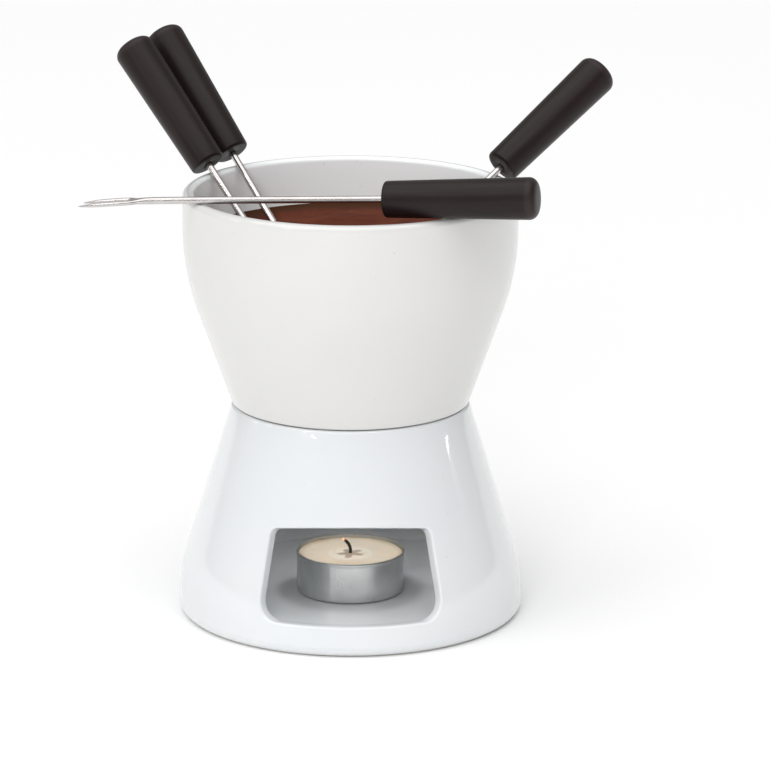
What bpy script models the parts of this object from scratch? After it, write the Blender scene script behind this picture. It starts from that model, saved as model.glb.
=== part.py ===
"""Fondue pot set: a ceramic bowl on a hollow ceramic base, a tealight inside it, and four forks.

Units are metres and +Z is up. The origin is on the table, under the middle of the pot.
The window in the base faces -Y.
"""

import math

import bmesh
import bpy
from mathutils import Matrix, Vector

MM = 0.001

# Gaps between pieces that touch or fit each other.
SEAT_GAP = 0.3 * MM
SPIGOT_GAP = 1.0 * MM
SLOT_GAP = 0.5 * MM

# Base: a hollow stand whose skirt is upright at the foot and tapers to the top opening.
BASE_RADIUS = 60.1 * MM
BASE_HEIGHT = 75.0 * MM
BASE_TOP_RADIUS = 41.3 * MM
BASE_SKIRT_HEIGHT = 14.7 * MM
BASE_WALL = 4.5 * MM
BASE_FLOOR = 8.1 * MM
BASE_SHOULDER_FILLET = 66.0 * MM
BASE_FLOOR_FILLET = 10.0 * MM
BASE_EDGE_FILLET = 1.2 * MM
FOOT_FILLET = 4.0 * MM
FOOT_WIDTH = 8.0 * MM
FOOT_RECESS = 1.4 * MM

# Window: its sides are cut towards the pot's axis, and its top edge square to the tapered wall.
WINDOW_HALF_ANGLE = math.radians(31.8)
WINDOW_SILL = 1.5 * MM
WINDOW_HEIGHT = 30.5 * MM
WINDOW_TOP_CORNER = 2.5 * MM
WINDOW_SILL_CORNER = 8.0 * MM

# Three holes at the back of the base let the candle's warm air out.
VENT_RADIUS = 3.5 * MM
VENT_SPACING = 17.0 * MM
VENT_DROP = 17.0 * MM

# Bowl: a tapered cup with an upright band below the rim, and a spigot that drops into the base.
BOWL_RADIUS = 57.9 * MM
BOWL_HEIGHT = 74.7 * MM
BOWL_SEAT_RADIUS = 41.2 * MM
BOWL_BELLY_HEIGHT = 46.8 * MM
BOWL_WALL = 4.0 * MM
BOWL_FLOOR = 5.5 * MM
BOWL_BELLY_FILLET = 85.0 * MM
BOWL_FLOOR_FILLET = 14.0 * MM
BOWL_SEAT_FILLET = 1.3 * MM
RIM_OUTER_FILLET = 2.0 * MM
RIM_INNER_FILLET = 1.6 * MM
SPIGOT_DEPTH = 7.0 * MM
SPIGOT_WIDTH = 4.5 * MM
SPIGOT_RECESS = 1.0 * MM
SPIGOT_FILLET = 0.6 * MM

# Melted chocolate, measured down from the rim.
CHOCOLATE_DROP = 17.5 * MM

# Tealight, which stands a little in front of the pot's axis.
CUP_FORWARD = 11.0 * MM
CUP_RADIUS = 19.0 * MM
CUP_HEIGHT = 14.3 * MM
CUP_WALL = 0.4 * MM
CUP_BEAD_RADIUS = 0.5 * MM
CUP_CORNER = 1.0 * MM
WAX_DROP = 1.3 * MM
WICK_RADIUS = 0.6 * MM
WICK_RISE = 0.8 * MM
WICK_BEND_RADIUS = 4.6 * MM
WICK_BEND = math.radians(66.0)
SUSTAINER_RADIUS = 7.0 * MM
SUSTAINER_THICKNESS = 0.4 * MM
SUSTAINER_NECK_HEIGHT = 3.5 * MM
SUSTAINER_NECK_WALL = 0.35 * MM

# Forks: four alike, each a moulded handle on one piece of steel.
HANDLE_LENGTH = 53.0 * MM
HANDLE_FRONT_RADIUS = 6.2 * MM
HANDLE_BUTT_RADIUS = 7.2 * MM
HANDLE_FRONT_FILLET = 0.8 * MM
HANDLE_BUTT_FILLET = 3.0 * MM
HANDLE_CROWN = 1.0 * MM
ROD_RADIUS = 1.2 * MM
TANG_LENGTH = 30.0 * MM
PRONG_RADIUS = 0.8 * MM
PRONG_TIP_RADIUS = 0.2 * MM
PRONG_TAPER = 5.0 * MM
PRONG_LENGTH = 20.0 * MM
PRONG_SPREAD = 5.8 * MM
FORK_TIP_GAP = 1.0 * MM

# The forks that stand in the bowl: where each leans on the rim, which way its handle
# points, how steeply it rises, and how far its handle stays from the rim.
LEANING_FORKS = (
    {"name": "fork_1", "rim": 153.2, "heading": 139.0, "rise": 46.0, "standoff": 4.0 * MM},
    {"name": "fork_2", "rim": 136.9, "heading": 135.0, "rise": 46.4, "standoff": 5.5 * MM},
    {"name": "fork_3", "rim": 22.0, "heading": 35.0, "rise": 34.0, "standoff": 4.0 * MM},
)

# The fork that lies across the rim: where its rod and its handle cross the rim, and the
# share of the handle that is inside the rim.
RESTING_FORK = {"name": "fork_4", "rod_rim": 205.0, "handle_rim": -55.0, "handle_inside": 0.4}

POT_SEGMENTS = 48
CUP_SEGMENTS = 32
HANDLE_SEGMENTS = 20
ROD_SIDES = 10
PRONG_SIDES = 8

# Heights that several pieces share.
BASE_FLOOR_TOP = FOOT_RECESS + BASE_FLOOR
SEAT_HEIGHT = BASE_HEIGHT + SEAT_GAP
RIM_HEIGHT = SEAT_HEIGHT + BOWL_HEIGHT
SPIGOT_BOTTOM = SEAT_HEIGHT - SPIGOT_DEPTH
BOWL_FLOOR_TOP = SPIGOT_BOTTOM + SPIGOT_RECESS + BOWL_FLOOR
CHOCOLATE_LEVEL = RIM_HEIGHT - CHOCOLATE_DROP
CUP_BOTTOM = BASE_FLOOR_TOP + SEAT_GAP
CUP_FLOOR_TOP = CUP_BOTTOM + CUP_WALL
WAX_BOTTOM = CUP_FLOOR_TOP + SEAT_GAP
WAX_LEVEL = CUP_BOTTOM + CUP_HEIGHT - WAX_DROP

# The tapered walls, as (radius, height) at their two ends.
BASE_TAPER = ((BASE_RADIUS, BASE_SKIRT_HEIGHT), (BASE_TOP_RADIUS, BASE_HEIGHT))
BOWL_TAPER = ((BOWL_SEAT_RADIUS, SEAT_HEIGHT), (BOWL_RADIUS, SEAT_HEIGHT + BOWL_BELLY_HEIGHT))


# ---------------------------------------------------------------- profiles

def inset_radius(wall, inset, height):
    """Radius, at a height, of a tapered wall moved inward by inset, measured square to it."""
    (r0, z0), (r1, z1) = wall
    length = math.hypot(r1 - r0, z1 - z0)
    return r0 + (height - z0) * (r1 - r0) / (z1 - z0) - inset * length / (z1 - z0)


def inset_height(wall, inset, radius):
    """Height at which a tapered wall moved inward by inset reaches a radius."""
    (r0, z0), (r1, z1) = wall
    length = math.hypot(r1 - r0, z1 - z0)
    return z0 + (radius - r0 + inset * length / (z1 - z0)) * (z1 - z0) / (r1 - r0)


def round_corners(corners, closed=False):
    """Turn (x, y, fillet, steps) corners into points, with each fillet as an arc.

    Two fillets that share a short run are both shortened to fit it.
    """
    points = [Vector(corner[:2]) for corner in corners]
    count = len(points)
    reach = []
    for i, (x, y, fillet, steps) in enumerate(corners):
        inner = closed or 0 < i < count - 1
        if not fillet or not inner:
            reach.append(0.0)
            continue
        before = (points[i - 1] - points[i]).normalized()
        after = (points[(i + 1) % count] - points[i]).normalized()
        half = before.angle(after) / 2
        reach.append(fillet / math.tan(half))
    limited = list(reach)
    for i in range(count if closed else count - 1):
        j = (i + 1) % count
        run = (points[j] - points[i]).length
        wanted = reach[i] + reach[j]
        if wanted > run:
            limited[i] = min(limited[i], reach[i] * run / wanted)
            limited[j] = min(limited[j], reach[j] * run / wanted)
    outline = []
    for i, (x, y, fillet, steps) in enumerate(corners):
        if not limited[i]:
            outline.append(points[i])
            continue
        before = (points[i - 1] - points[i]).normalized()
        after = (points[(i + 1) % count] - points[i]).normalized()
        half = before.angle(after) / 2
        radius = limited[i] * math.tan(half)
        centre = points[i] + (before + after).normalized() * radius / math.sin(half)
        start = points[i] + before * limited[i] - centre
        turn = start.angle_signed(points[i] + after * limited[i] - centre)
        for k in range(steps + 1):
            outline.append(centre + Matrix.Rotation(-turn * k / steps, 2) @ start)
    return outline


# ---------------------------------------------------------------- solids

def plain_material(name, colour, roughness, metallic=0.0):
    material = bpy.data.materials.new(name)
    material.use_nodes = True
    shader = material.node_tree.nodes["Principled BSDF"]
    shader.inputs["Base Color"].default_value = (*colour, 1.0)
    shader.inputs["Roughness"].default_value = roughness
    shader.inputs["Metallic"].default_value = metallic
    return material


def finish_object(name, form, material):
    """Weld a bmesh, turn its faces outward and link it as a named object."""
    bmesh.ops.remove_doubles(form, verts=form.verts, dist=1e-6)
    bmesh.ops.recalc_face_normals(form, faces=form.faces)
    mesh = bpy.data.meshes.new(name)
    form.to_mesh(mesh)
    form.free()
    mesh.shade_smooth()
    mesh.set_sharp_from_angle(angle=math.radians(35.0))
    piece = bpy.data.objects.new(name, mesh)
    bpy.context.scene.collection.objects.link(piece)
    if material:
        mesh.materials.append(material)
    return piece


def stand_in_window(piece):
    """Move a piece made about Z to where the tealight stands."""
    piece.location.y = -CUP_FORWARD


def turned(name, corners, segments, material):
    """Spin a profile of (radius, height, fillet, steps) corners about Z."""
    form = bmesh.new()
    profile = [form.verts.new((p.x, 0.0, p.y)) for p in round_corners(corners)]
    edges = [form.edges.new(pair) for pair in zip(profile, profile[1:])]
    bmesh.ops.spin(form, geom=profile + edges, cent=(0, 0, 0), axis=(0, 0, 1),
                   steps=segments, angle=math.tau, use_merge=True)
    return finish_object(name, form, material)


def skinned(form, rings):
    """Join rings of vertices one to the next, and close both ends."""
    for low, high in zip(rings, rings[1:]):
        for i in range(len(low)):
            j = (i + 1) % len(low)
            form.faces.new((low[i], low[j], high[j], high[i]))
    form.faces.new(reversed(rings[0]))
    form.faces.new(rings[-1])


def swept(name, path, radii, sides, material):
    """A round bar along a path of (x, z) points in the XZ plane, with a radius at each."""
    form = bmesh.new()
    points = [Vector((x, 0.0, z)) for x, z in path]
    rings = []
    for i, point in enumerate(points):
        ahead = (points[min(i + 1, len(points) - 1)] - point).normalized()
        behind = (point - points[max(i - 1, 0)]).normalized()
        along = (ahead + behind).normalized()
        side = Vector((0.0, 1.0, 0.0))
        across = side.cross(along)
        ring = []
        for k in range(sides):
            angle = math.tau * (k + 0.5) / sides
            offset = across * math.cos(angle) + side * math.sin(angle)
            ring.append(form.verts.new(point + offset * radii[i]))
        rings.append(ring)
    skinned(form, rings)
    return finish_object(name, form, material)


def cutter(piece):
    piece.hide_render = True
    piece.display_type = "WIRE"
    return piece


def add_boolean(piece, tool, operation):
    boolean = piece.modifiers.new(tool.name, "BOOLEAN")
    boolean.operation = operation
    boolean.solver = "EXACT"
    boolean.object = tool


# ---------------------------------------------------------------- base

def window_outline(distance):
    """The window's outline, as (x, z) points, on the plane y = -distance."""
    half_width = distance * math.tan(WINDOW_HALF_ANGLE)
    sill = BASE_FLOOR_TOP + WINDOW_SILL
    (r0, z0), (r1, z1) = BASE_TAPER
    slope = (r0 - r1) / (z1 - z0)
    corner_distance = inset_radius(BASE_TAPER, 0.0, sill + WINDOW_HEIGHT) * math.cos(WINDOW_HALF_ANGLE)
    top = sill + WINDOW_HEIGHT + (distance - corner_distance) * slope
    return round_corners((
        (-half_width, sill, WINDOW_SILL_CORNER, 6),
        (half_width, sill, WINDOW_SILL_CORNER, 6),
        (half_width, top, WINDOW_TOP_CORNER, 4),
        (-half_width, top, WINDOW_TOP_CORNER, 4),
    ), closed=True)


def make_window_cutter():
    form = bmesh.new()
    rings = []
    for distance in (BASE_TOP_RADIUS / 2, BASE_RADIUS * 1.2):
        rings.append([form.verts.new((p.x, -distance, p.y)) for p in window_outline(distance)])
    skinned(form, rings)
    return cutter(finish_object("window_cutter", form, None))


def make_vent_cutter(index):
    form = bmesh.new()
    length = BASE_RADIUS
    place = Matrix.Translation((index * VENT_SPACING, length / 2 + BASE_TOP_RADIUS / 2,
                                BASE_HEIGHT - VENT_DROP))
    bmesh.ops.create_cone(form, cap_ends=True, segments=16, radius1=VENT_RADIUS,
                          radius2=VENT_RADIUS, depth=length,
                          matrix=place @ Matrix.Rotation(math.pi / 2, 4, "X"))
    return cutter(finish_object(f"vent_cutter_{index}", form, None))


def make_base(glaze):
    inner_radius = BASE_RADIUS - BASE_WALL
    inner_corner = inset_height(BASE_TAPER, BASE_WALL, inner_radius)
    top_inner = inset_radius(BASE_TAPER, BASE_WALL, BASE_HEIGHT)
    foot_inner = BASE_RADIUS - FOOT_WIDTH
    base = turned("base", (
        (0.0, FOOT_RECESS, 0.0, 0),
        (foot_inner, FOOT_RECESS, 0.4 * MM, 1),
        (foot_inner, 0.0, 0.4 * MM, 1),
        (BASE_RADIUS, 0.0, FOOT_FILLET, 4),
        (BASE_RADIUS, BASE_SKIRT_HEIGHT, BASE_SHOULDER_FILLET, 5),
        (BASE_TOP_RADIUS, BASE_HEIGHT, BASE_EDGE_FILLET, 3),
        (top_inner, BASE_HEIGHT, BASE_EDGE_FILLET, 3),
        (inner_radius, inner_corner, BASE_SHOULDER_FILLET - BASE_WALL, 5),
        (inner_radius, BASE_FLOOR_TOP, BASE_FLOOR_FILLET, 4),
        (0.0, BASE_FLOOR_TOP, 0.0, 0),
    ), POT_SEGMENTS, glaze)
    add_boolean(base, make_window_cutter(), "DIFFERENCE")
    for index in (-1, 0, 1):
        add_boolean(base, make_vent_cutter(index), "DIFFERENCE")


# ---------------------------------------------------------------- bowl and chocolate

def bowl_inside(gap):
    """The bowl's inner radii and heights, moved in from its surface by gap."""
    inset = BOWL_WALL + gap
    floor = BOWL_FLOOR_TOP + gap
    band_radius = BOWL_RADIUS - inset
    return {
        "floor": floor,
        "floor_radius": inset_radius(BOWL_TAPER, inset, floor),
        "band_radius": band_radius,
        "belly": inset_height(BOWL_TAPER, inset, band_radius),
        "floor_fillet": BOWL_FLOOR_FILLET - gap,
        "belly_fillet": BOWL_BELLY_FILLET - inset,
    }


def make_bowl(glaze):
    inside = bowl_inside(0.0)
    spigot_radius = inset_radius(BASE_TAPER, BASE_WALL, BASE_HEIGHT) - SPIGOT_GAP
    spigot_inner = spigot_radius - SPIGOT_WIDTH
    turned("bowl", (
        (0.0, SPIGOT_BOTTOM + SPIGOT_RECESS, 0.0, 0),
        (spigot_inner, SPIGOT_BOTTOM + SPIGOT_RECESS, 0.4 * MM, 1),
        (spigot_inner, SPIGOT_BOTTOM, 0.4 * MM, 1),
        (spigot_radius, SPIGOT_BOTTOM, SPIGOT_FILLET, 2),
        (spigot_radius, SEAT_HEIGHT, 0.4 * MM, 1),
        (BOWL_SEAT_RADIUS, SEAT_HEIGHT, BOWL_SEAT_FILLET, 3),
        (BOWL_RADIUS, SEAT_HEIGHT + BOWL_BELLY_HEIGHT, BOWL_BELLY_FILLET, 6),
        (BOWL_RADIUS, RIM_HEIGHT, RIM_OUTER_FILLET, 4),
        (inside["band_radius"], RIM_HEIGHT, RIM_INNER_FILLET, 4),
        (inside["band_radius"], inside["belly"], inside["belly_fillet"], 6),
        (inside["floor_radius"], inside["floor"], inside["floor_fillet"], 5),
        (0.0, inside["floor"], 0.0, 0),
    ), POT_SEGMENTS, glaze)


def make_chocolate(material, forks):
    """The melted chocolate, with a slot for each fork that stands in it."""
    inside = bowl_inside(SEAT_GAP)
    wall = round_corners((
        (0.0, inside["floor"], 0.0, 0),
        (inside["floor_radius"], inside["floor"], inside["floor_fillet"], 5),
        (inside["band_radius"], inside["belly"], inside["belly_fillet"], 6),
        (inside["band_radius"], RIM_HEIGHT, 0.0, 0),
    ))
    below = [point for point in wall if point.y < CHOCOLATE_LEVEL]
    above = wall[len(below)]
    share = (CHOCOLATE_LEVEL - below[-1].y) / (above.y - below[-1].y)
    shore = below[-1].lerp(above, share)
    profile = below + [shore, Vector((0.0, CHOCOLATE_LEVEL))]
    chocolate = turned("melted_chocolate", [(point.x, point.y, 0.0, 0) for point in profile],
                       POT_SEGMENTS, material)
    for fork in forks:
        add_boolean(chocolate, make_slot_cutter(fork), "DIFFERENCE")


def make_slot_cutter(fork):
    """The space that a fork sweeps as it is drawn out along its own axis."""
    form = bmesh.new()
    half_width = PRONG_SPREAD / 2 + PRONG_RADIUS + SLOT_GAP
    half_depth = ROD_RADIUS + SLOT_GAP
    length = fork["reach"] + SLOT_GAP
    size = Matrix.Diagonal((half_width * 2, half_depth * 2, length, 1.0))
    place = fork["frame"] @ Matrix.Translation((0.0, 0.0, -length / 2))
    bmesh.ops.create_cube(form, size=1.0, matrix=place @ size)
    return cutter(finish_object(fork["name"] + "_slot", form, None))


# ---------------------------------------------------------------- tealight

def make_cup(material):
    top = CUP_BOTTOM + CUP_HEIGHT
    bead = CUP_BEAD_RADIUS
    outer = CUP_RADIUS - bead + CUP_WALL / 2
    inner = outer - CUP_WALL
    cup = turned("tealight_cup", (
        (0.0, CUP_BOTTOM, 0.0, 0),
        (outer, CUP_BOTTOM, CUP_CORNER, 3),
        (outer, top - 2 * bead, 0.0, 0),
        (CUP_RADIUS, top - 2 * bead, bead * 0.9, 3),
        (CUP_RADIUS, top, bead * 0.9, 3),
        (inner, top, bead * 0.4, 2),
        (inner, CUP_FLOOR_TOP, CUP_CORNER - CUP_WALL, 2),
        (0.0, CUP_FLOOR_TOP, 0.0, 0),
    ), CUP_SEGMENTS, material)
    stand_in_window(cup)


def make_candle(wax_material, steel, wick_material):
    """The wax with its wick, and the sustainer that holds the wick upright."""
    wax_radius = CUP_RADIUS - CUP_BEAD_RADIUS - CUP_WALL / 2 - SEAT_GAP
    bore = WICK_RADIUS + SEAT_GAP
    neck_radius = bore + SUSTAINER_NECK_WALL
    disc_bottom = WAX_BOTTOM
    disc_top = disc_bottom + SUSTAINER_THICKNESS
    neck_top = disc_top + SUSTAINER_NECK_HEIGHT
    wax = turned("candle_wax", (
        (bore, WAX_LEVEL, 0.0, 0),
        (bore, neck_top + SEAT_GAP, 0.0, 0),
        (neck_radius + SEAT_GAP, neck_top + SEAT_GAP, 0.0, 0),
        (neck_radius + SEAT_GAP, disc_top + SEAT_GAP, 0.0, 0),
        (SUSTAINER_RADIUS + SEAT_GAP, disc_top + SEAT_GAP, 0.0, 0),
        (SUSTAINER_RADIUS + SEAT_GAP, WAX_BOTTOM, 0.0, 0),
        (wax_radius, WAX_BOTTOM, CUP_CORNER - CUP_WALL, 2),
        (wax_radius, WAX_LEVEL, 0.4 * MM, 2),
        (bore, WAX_LEVEL, 0.0, 0),
    ), CUP_SEGMENTS, wax_material)
    sustainer = turned("wick_sustainer", (
        (bore, neck_top, 0.0, 0),
        (bore, disc_bottom, 0.0, 0),
        (SUSTAINER_RADIUS, disc_bottom, 0.0, 0),
        (SUSTAINER_RADIUS, disc_top, 0.0, 0),
        (neck_radius, disc_top, 0.0, 0),
        (neck_radius, neck_top, 0.0, 0),
        (bore, neck_top, 0.0, 0),
    ), CUP_SEGMENTS // 2, steel)
    bend_height = WAX_LEVEL + WICK_RISE
    path = [(0.0, disc_bottom), (0.0, bend_height)]
    bend_steps = 5
    for k in range(1, bend_steps + 1):
        angle = WICK_BEND * k / bend_steps
        path.append((-WICK_BEND_RADIUS * (1 - math.cos(angle)),
                     bend_height + WICK_BEND_RADIUS * math.sin(angle)))
    wick = swept("wick", path, [WICK_RADIUS] * len(path), PRONG_SIDES, wick_material)
    for piece in (wax, sustainer, wick):
        stand_in_window(piece)


# ---------------------------------------------------------------- forks

def place_frame(origin, along, up):
    """A frame whose Z runs along the fork towards its butt and whose Y is up."""
    across = up.cross(along)
    frame = Matrix((across, up, along)).transposed().to_4x4()
    frame.translation = origin
    return frame


def leaning_line(fork):
    """The rod's direction, its normal at the rim, and the point where it leans there."""
    rim, heading, rise = (math.radians(fork[key]) for key in ("rim", "heading", "rise"))
    along = Vector((math.cos(rise) * math.cos(heading), math.cos(rise) * math.sin(heading),
                    math.sin(rise)))
    rim_run = Vector((-math.sin(rim), math.cos(rim), 0.0))
    normal = along.cross(rim_run).normalized()
    if normal.z < 0:
        normal.negate()
    fillet_radius = BOWL_RADIUS - BOWL_WALL + RIM_INNER_FILLET
    lean = Vector((fillet_radius * math.cos(rim), fillet_radius * math.sin(rim),
                   RIM_HEIGHT - RIM_INNER_FILLET))
    lean += normal * (RIM_INNER_FILLET + ROD_RADIUS + SEAT_GAP)
    return along, normal, lean


def fork_reach():
    """Steel from the handle to the prong tips: the most that clears the bowl's floor."""
    reaches = []
    for fork in LEANING_FORKS:
        along, normal, lean = leaning_line(fork)
        drop = lean.z - (BOWL_FLOOR_TOP + FORK_TIP_GAP)
        reaches.append(fork["standoff"] + drop / along.z)
    return min(reaches)


def leaning_frame(fork):
    along, normal, lean = leaning_line(fork)
    return place_frame(lean + along * fork["standoff"], along, normal)


def resting_frame(fork):
    """The frame of the fork that lies with its rod and its handle on the rim."""
    rim_radius = BOWL_RADIUS - BOWL_WALL / 2
    share = fork["handle_inside"]
    handle_radius = HANDLE_FRONT_RADIUS + share * (HANDLE_BUTT_RADIUS - HANDLE_FRONT_RADIUS)
    points = []
    for angle, radius in ((fork["rod_rim"], ROD_RADIUS), (fork["handle_rim"], handle_radius)):
        angle = math.radians(angle)
        points.append(Vector((rim_radius * math.cos(angle), rim_radius * math.sin(angle),
                              RIM_HEIGHT + radius + SEAT_GAP)))
    rod_point, handle_point = points
    along = (handle_point - rod_point).normalized()
    level = Vector((0.0, 0.0, 1.0)).cross(along).normalized()
    origin = handle_point - along * HANDLE_LENGTH * share
    return place_frame(origin, along, along.cross(level))


def make_fork(fork, handle_material, steel):
    """A handle and its steel under one empty, which stands where the rod leaves the handle."""
    name = fork["name"]
    reach = fork["reach"]
    bore = ROD_RADIUS + SEAT_GAP
    crown_start = HANDLE_LENGTH - HANDLE_CROWN
    handle = turned(name + "_handle", (
        (0.0, TANG_LENGTH + SEAT_GAP, 0.0, 0),
        (bore, TANG_LENGTH + SEAT_GAP, 0.0, 0),
        (bore, 0.0, 0.0, 0),
        (HANDLE_FRONT_RADIUS, 0.0, HANDLE_FRONT_FILLET, 2),
        (HANDLE_BUTT_RADIUS, crown_start, HANDLE_BUTT_FILLET, 4),
        (HANDLE_BUTT_RADIUS / 2, HANDLE_LENGTH - HANDLE_CROWN / 4, 0.0, 0),
        (0.0, HANDLE_LENGTH, 0.0, 0),
    ), HANDLE_SEGMENTS, handle_material)

    half_spread = PRONG_SPREAD / 2
    yoke = -reach + PRONG_LENGTH
    rod = swept(name + "_steel", [(0.0, TANG_LENGTH), (0.0, yoke)], [ROD_RADIUS] * 2,
                ROD_SIDES, steel)
    bend_steps = 8
    shoulder = yoke - half_spread
    path = [(-half_spread, -reach), (-half_spread, -reach + PRONG_TAPER)]
    for k in range(bend_steps + 1):
        angle = math.pi * k / bend_steps
        path.append((-half_spread * math.cos(angle), shoulder + half_spread * math.sin(angle)))
    path += [(half_spread, -reach + PRONG_TAPER), (half_spread, -reach)]
    radii = [PRONG_RADIUS] * len(path)
    radii[0] = PRONG_TIP_RADIUS
    radii[-1] = PRONG_TIP_RADIUS
    prongs = cutter(swept(name + "_prongs", path, radii, PRONG_SIDES, None))
    add_boolean(rod, prongs, "UNION")

    holder = bpy.data.objects.new(name, None)
    bpy.context.scene.collection.objects.link(holder)
    holder.matrix_world = fork["frame"]
    for piece in (handle, rod, prongs):
        piece.parent = holder


# ---------------------------------------------------------------- the set

def main():
    for leftover in list(bpy.data.objects):
        bpy.data.objects.remove(leftover)

    base_glaze = plain_material("base_glaze", (0.83, 0.85, 0.87), 0.08)
    bowl_glaze = plain_material("bowl_glaze", (0.76, 0.75, 0.73), 0.15)
    chocolate = plain_material("chocolate", (0.075, 0.022, 0.012), 0.12)
    aluminium = plain_material("aluminium", (0.62, 0.63, 0.62), 0.28, metallic=1.0)
    wax = plain_material("wax", (0.72, 0.62, 0.48), 0.45)
    tin_plate = plain_material("tin_plate", (0.55, 0.54, 0.52), 0.35, metallic=1.0)
    charred_cotton = plain_material("charred_cotton", (0.02, 0.014, 0.012), 0.9)
    dark_plastic = plain_material("dark_plastic", (0.034, 0.024, 0.024), 0.42)
    steel = plain_material("polished_steel", (0.66, 0.64, 0.63), 0.16, metallic=1.0)

    reach = fork_reach()
    leaning = [dict(fork, reach=reach, frame=leaning_frame(fork)) for fork in LEANING_FORKS]
    resting = dict(RESTING_FORK, reach=reach, frame=resting_frame(RESTING_FORK))

    make_base(base_glaze)
    make_bowl(bowl_glaze)
    make_chocolate(chocolate, leaning)
    make_cup(aluminium)
    make_candle(wax, tin_plate, charred_cotton)
    for fork in leaning + [resting]:
        make_fork(fork, dark_plastic, steel)


main()
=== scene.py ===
import math
from functools import partial
import bmesh
import bpy
import numpy as np
from mathutils import Matrix, Vector, noise


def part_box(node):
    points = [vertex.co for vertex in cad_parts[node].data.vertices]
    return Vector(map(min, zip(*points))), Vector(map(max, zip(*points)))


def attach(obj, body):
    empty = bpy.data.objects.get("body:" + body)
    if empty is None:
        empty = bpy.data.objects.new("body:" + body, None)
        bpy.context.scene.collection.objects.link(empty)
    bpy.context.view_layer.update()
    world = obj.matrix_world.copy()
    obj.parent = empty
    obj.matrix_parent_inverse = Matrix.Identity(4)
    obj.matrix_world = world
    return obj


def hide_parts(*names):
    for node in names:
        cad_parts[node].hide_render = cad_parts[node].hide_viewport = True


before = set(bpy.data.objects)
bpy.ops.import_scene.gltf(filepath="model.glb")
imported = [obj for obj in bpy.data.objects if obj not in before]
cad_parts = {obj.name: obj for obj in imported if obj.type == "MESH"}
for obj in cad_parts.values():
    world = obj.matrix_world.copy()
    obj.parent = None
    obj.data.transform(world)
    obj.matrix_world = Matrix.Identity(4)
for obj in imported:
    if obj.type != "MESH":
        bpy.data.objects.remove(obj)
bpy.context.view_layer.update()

mm = 0.001
scene = bpy.context.scene


# the camera looks down on the pot from a little above its rim

camera = {"distance": 1.6, "elevation": 15.1, "lens": 214.8, "shiftX": 0.0448, "shiftY": 0.0195}


def makeCamera():
    tilt = math.radians(camera["elevation"])
    back = Vector((0, -math.cos(tilt), math.sin(tilt)))
    lookAt = Vector((0, 0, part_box("base")[1].z))
    data = bpy.data.cameras.new("camera")
    data.sensor_width = 36
    data.lens = camera["lens"]
    data.shift_x = camera["shiftX"]
    data.shift_y = camera["shiftY"]
    data.clip_start = 0.05
    data.clip_end = 50
    eye = bpy.data.objects.new("camera", data)
    eye.location = lookAt + back * camera["distance"]
    eye.rotation_euler = (-back).to_track_quat("-Z", "Y").to_euler()
    scene.collection.objects.link(eye)
    scene.camera = eye
    print("camera done")


# shader helpers

class Wire:
    # a shader socket that can be used in a Python expression
    def __init__(self, finish, socket):
        self.finish = finish
        self.socket = socket

    def maths(self, operation, *others):
        return self.finish.node("Math", {"operation": operation}, dict(enumerate((self, *others))))

    def reflected(self, operation, number):
        # number first, this socket second
        return self.finish.node("Math", {"operation": operation}, {0: number, 1: self})

    def __add__(self, other):
        return self.maths("ADD", other)

    def __sub__(self, other):
        return self.maths("SUBTRACT", other)

    def __rsub__(self, other):
        return self.reflected("SUBTRACT", other)

    def __mul__(self, other):
        return self.maths("MULTIPLY", other)

    __radd__ = __add__
    __rmul__ = __mul__

    def root(self):
        return self.maths("SQRT")

    def step(self, low, high):
        # 0 below low, 1 above high, smooth between
        return self.finish.node("MapRange", {"interpolation_type": "SMOOTHSTEP"},
                                {"Value": self, "From Min": low, "From Max": high})


class Finish:
    # a material and the nodes that make it
    def __init__(self, name, **shader):
        self.material = bpy.data.materials.new(name)
        self.material.use_nodes = True
        self.tree = self.material.node_tree
        self.shader = self.tree.nodes["Principled BSDF"]
        for key, value in shader.items():
            self.shader.inputs[key.replace("_", " ")].default_value = value

    def node(self, kind, settings={}, inputs={}, out=0):
        made = self.tree.nodes.new("ShaderNode" + kind)
        for key, value in settings.items():
            setattr(made, key, value)
        for key, value in inputs.items():
            if isinstance(value, Wire):
                self.tree.links.new(value.socket, made.inputs[key])
            else:
                made.inputs[key].default_value = value
        return Wire(self, made.outputs[out])

    def place(self, stretch=(1, 1, 1)):
        # the piece's own coordinates in metres, stretched for a directional grain
        own = self.node("TexCoord", out="Object")
        if stretch == (1, 1, 1):
            return own
        return self.node("Mapping", inputs={"Vector": own, "Scale": stretch})

    def axes(self):
        split = self.node("SeparateXYZ", inputs={"Vector": self.place()})
        outputs = split.socket.node.outputs
        return [Wire(self, outputs[k]) for k in range(3)]

    def noise(self, scale, detail=3.0, rough=0.5, stretch=(1, 1, 1), warp=0.0):
        return self.node("TexNoise", inputs={"Vector": self.place(stretch), "Scale": scale,
                                             "Detail": detail, "Roughness": rough,
                                             "Distortion": warp})

    def blend(self, share, low, high):
        # two colours mixed by share
        colours = [c if isinstance(c, Wire) else (*c, 1) for c in (low, high)]
        return self.node("Mix", {"data_type": "RGBA"},
                         {0: share, 6: colours[0], 7: colours[1]}, out=2)

    def bump(self, height, distance, strength=1.0, under=None):
        inputs = {"Height": height, "Distance": distance, "Strength": strength}
        if under:
            inputs["Normal"] = under
        return self.node("Bump", inputs=inputs)

    def feed(self, **links):
        for key, wire in links.items():
            self.tree.links.new(wire.socket, self.shader.inputs[key.replace("_", " ")])
        return self.material


# outline helpers: a section is a list of 2D points in metres

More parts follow.
